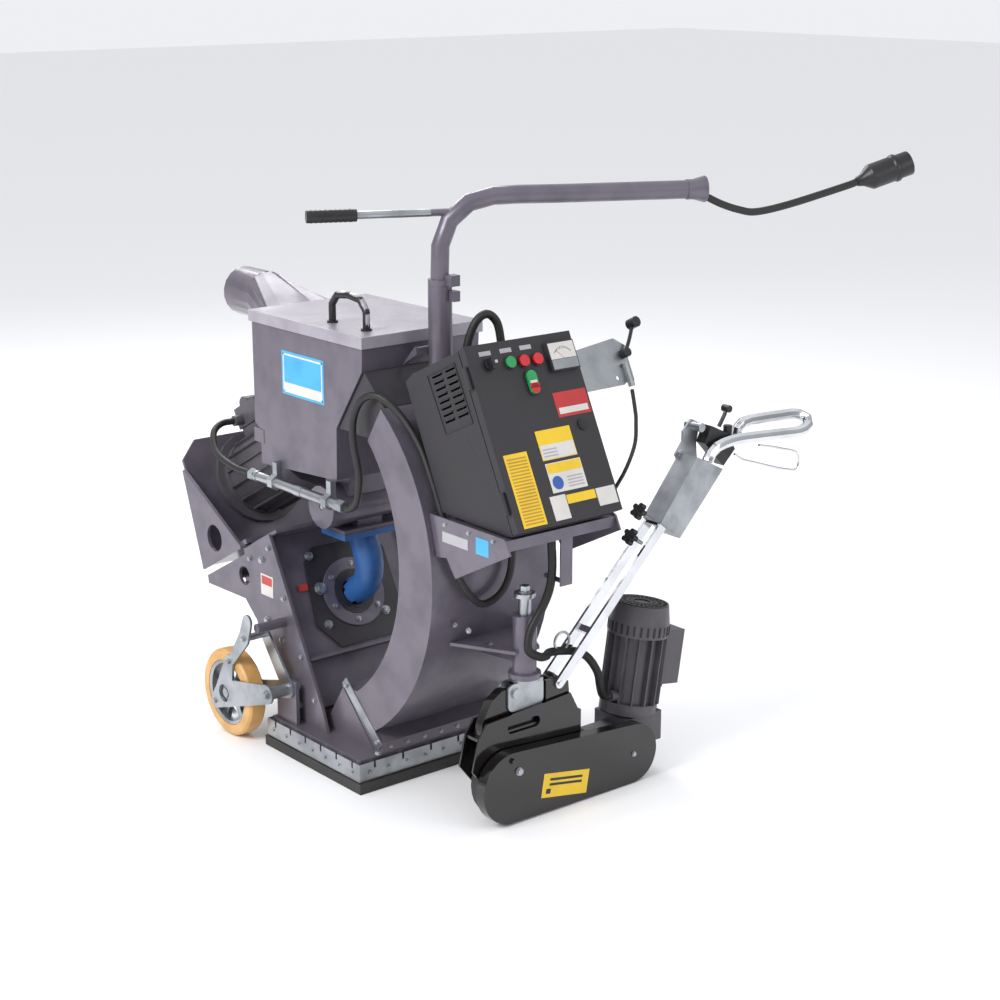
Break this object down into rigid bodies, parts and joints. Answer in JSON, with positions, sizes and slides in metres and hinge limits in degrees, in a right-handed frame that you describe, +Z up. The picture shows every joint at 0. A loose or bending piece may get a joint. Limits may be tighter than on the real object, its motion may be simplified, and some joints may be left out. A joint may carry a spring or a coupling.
{
  "type": "walk-behind shot blaster",
  "caption": "Walk-behind floor blasting machine with leaning blast motor, rebound duct, shot hopper, control cabinet, overhead cable boom and steerable powered drive wheel.",
  "frame": {"origin": "on the floor, at the bottom of the middle of the front rubber seal", "axes": "+X forward from the blast unit to the drive wheel, +Y toward the raised tiller at rest, +Z up"},
  "size_m": [1.4018, 1.3493, 1.452],
  "materials": {
    "amber_tyre": "satin polyurethane",
    "black_plastic": "satin",
    "black_rubber": "matte",
    "blue_cast": "satin casting",
    "button_green": "gloss",
    "button_red": "gloss",
    "cabinet_paint": "textured matte",
    "chrome": "polished",
    "dark_paint": "satin",
    "galvanised": "zinc plated",
    "gloss_black": "gloss",
    "grey_paint": "satin",
    "lid_paint": "satin",
    "motor_paint": "satin",
    "steel": "machined"
  },
  "bodies": {
    "machine": {"seal_rubber": "black_rubber", "seal_strip": "galvanised", "base_frame": "grey_paint", "wheel_housing": "grey_paint", "wheel_access_plate": "dark_paint", "blast_motor": "motor_paint", "motor_terminal_box": "motor_paint", "motor_mount": "grey_paint", "drive_belt": "black_rubber", "belt_guard": "grey_paint", "shot_valve_body": "grey_paint", "feed_elbow": "blue_cast", "rebound_duct": "grey_paint", "rebound_throat": "dark_paint", "hopper": "grey_paint", "dust_outlet": "grey_paint", "cable_conduit": "black_plastic", "blast_motor_cable": "black_rubber", "mast": "grey_paint", "supply_cable_loop": "black_rubber", "cabinet_case": "cabinet_paint", "contactor_panel": "galvanised", "cabinet_tray": "grey_paint", "feed_lever_bracket": "galvanised", "feed_cable": "black_rubber", "kingpin_bracket": "grey_paint", "drive_cable": "black_rubber"},
    "blast_impeller": {"blast_wheel": "steel"},
    "motor_sheave": {"motor_pulley": "steel"},
    "valve": {"valve_flap": "steel"},
    "lid": {"hopper_lid": "lid_paint"},
    "boom": {"cable_boom": "chrome", "power_cable": "black_rubber", "cable_plug": "black_plastic"},
    "door": {"cabinet_door": "cabinet_paint"},
    "selector": {"selector_knob": "black_plastic"},
    "start_push": {"start_button": "button_green"},
    "stop_push_a": {"stop_button_a": "button_red"},
    "stop_push_b": {"stop_button_b": "button_red"},
    "double_push": {"double_button": "button_green"},
    "feed_handle": {"feed_lever": "black_plastic"},
    "steering_yoke": {"kingpin_yoke": "galvanised"},
    "drive_unit": {"drive_frame": "galvanised", "drive_gearbox": "motor_paint", "drive_motor": "motor_paint", "chain_cover": "gloss_black"},
    "drive_wheel": {"drive_tyre": "black_rubber", "drive_hub": "steel"},
    "tiller": {"tiller_tube": "chrome"},
    "grip_head": {"tiller_head": "galvanised", "control_box": "black_plastic", "handlebar": "chrome"},
    "bail": {"brake_bail": "chrome"},
    "speed_toggle": {"speed_lever": "black_plastic"},
    "left_arm": {"wheel_arm_left": "galvanised"},
    "right_arm": {"wheel_arm_right": "galvanised"},
    "left_wheel": {"rear_tyre_left": "amber_tyre", "rear_rim_left": "galvanised"},
    "right_wheel": {"rear_tyre_right": "amber_tyre", "rear_rim_right": "galvanised"}
  },
  "joints": [
    {"name": "impeller_spin", "type": "hinge", "parent": "machine", "child": "blast_impeller", "pos_m": [-0.429, 0, 0.3225], "axis": [0.8788, 0, 0.4772], "continuous": true},
    {"name": "sheave_spin", "type": "hinge", "parent": "machine", "child": "motor_sheave", "pos_m": [-0.8251, 0, 0.549], "axis": [0.8788, 0, 0.4772], "continuous": true},
    {"name": "valve_swing", "type": "hinge", "parent": "machine", "child": "valve", "pos_m": [-0.325, 0, 0.606], "axis": [0, -1, 0], "range_deg": [0, 35]},
    {"name": "lid_lift", "type": "slide", "parent": "machine", "child": "lid", "axis": [0, 0, 1], "range_m": [0, 0.12]},
    {"name": "boom_swivel", "type": "hinge", "parent": "machine", "child": "boom", "pos_m": [0, 0, 1.15], "axis": [0, 0, 1], "range_deg": [-90, 45]},
    {"name": "door_swing", "type": "hinge", "parent": "machine", "child": "door", "pos_m": [0.45, -0.156, 0.7186], "axis": [0.4446, 0, -0.8957], "range_deg": [0, 110]},
    {"name": "selector_turn", "type": "hinge", "parent": "door", "child": "selector", "pos_m": [0.2947, -0.0995, 1.054], "axis": [0.8957, 0, 0.4446], "range_deg": [-45, 45]},
    {"name": "start_press", "type": "slide", "parent": "door", "child": "start_push", "axis": [-0.8957, 0, -0.4446], "range_m": [0, 0.0035], "stiffness_N_per_m": 400},
    {"name": "stop_press_a", "type": "slide", "parent": "door", "child": "stop_push_a", "axis": [-0.8957, 0, -0.4446], "range_m": [0, 0.0035], "stiffness_N_per_m": 400},
    {"name": "stop_press_b", "type": "slide", "parent": "door", "child": "stop_push_b", "axis": [-0.8957, 0, -0.4446], "range_m": [0, 0.0035], "stiffness_N_per_m": 400},
    {"name": "double_press", "type": "slide", "parent": "door", "child": "double_push", "axis": [-0.8957, 0, -0.4446], "range_m": [0, 0.0035], "stiffness_N_per_m": 400},
    {"name": "feed_swing", "type": "hinge", "parent": "machine", "child": "feed_handle", "pos_m": [0.2756, 0.32, 1.025], "axis": [0.8957, 0, 0.4446], "range_deg": [0, 35]},
    {"name": "steering", "type": "hinge", "parent": "machine", "child": "steering_yoke", "pos_m": [0.302, 0, 0.4], "axis": [0, 0, 1], "range_deg": [-180, 0], "deforming": ["drive_cable"]},
    {"name": "drive_rock", "type": "hinge", "parent": "steering_yoke", "child": "drive_unit", "pos_m": [0.302, -0.04, 0.296], "axis": [1, 0, 0], "range_deg": [0, 4]},
    {"name": "drive_wheel_spin", "type": "hinge", "parent": "drive_unit", "child": "drive_wheel", "pos_m": [0.302, -0.058, 0.0895], "axis": [1, 0, 0], "continuous": true},
    {"name": "tiller_fold", "type": "hinge", "parent": "drive_unit", "child": "tiller", "pos_m": [0.302, 0.085, 0.293], "axis": [1, 0, 0], "range_deg": [0, 10]},
    {"name": "tiller_extend", "type": "slide", "parent": "tiller", "child": "grip_head", "axis": [0, 0.7071, 0.7071], "range_m": [0, 0.06]},
    {"name": "bail_squeeze", "type": "hinge", "parent": "grip_head", "child": "bail", "pos_m": [0.322, 0.64, 0.744], "axis": [1, 0, 0], "range_deg": [0, 4], "stiffness_Nm_per_rad": 0.6},
    {"name": "speed_toggle_tip", "type": "hinge", "parent": "grip_head", "child": "speed_toggle", "pos_m": [0.285, 0.622, 0.808], "axis": [1, 0, 0], "range_deg": [-8, 8]},
    {"name": "left_arm_swing", "type": "hinge", "parent": "machine", "child": "left_arm", "pos_m": [-0.314, -0.27, 0.167], "axis": [0, 1, 0], "range_deg": [0, 6]},
    {"name": "left_wheel_spin", "type": "hinge", "parent": "left_arm", "child": "left_wheel", "pos_m": [-0.512, -0.27, 0.113], "axis": [0, 1, 0], "continuous": true},
    {"name": "right_arm_swing", "type": "hinge", "parent": "machine", "child": "right_arm", "pos_m": [-0.314, 0.27, 0.167], "axis": [0, 1, 0], "range_deg": [0, 6]},
    {"name": "right_wheel_spin", "type": "hinge", "parent": "right_arm", "child": "right_wheel", "pos_m": [-0.512, 0.27, 0.113], "axis": [0, 1, 0], "continuous": true}
  ],
  "couplings": [
    {"joint": "sheave_spin", "follows": "impeller_spin", "ratio": 0.8871},
    {"joint": "valve_swing", "follows": "feed_swing", "ratio": 1}
  ]
}
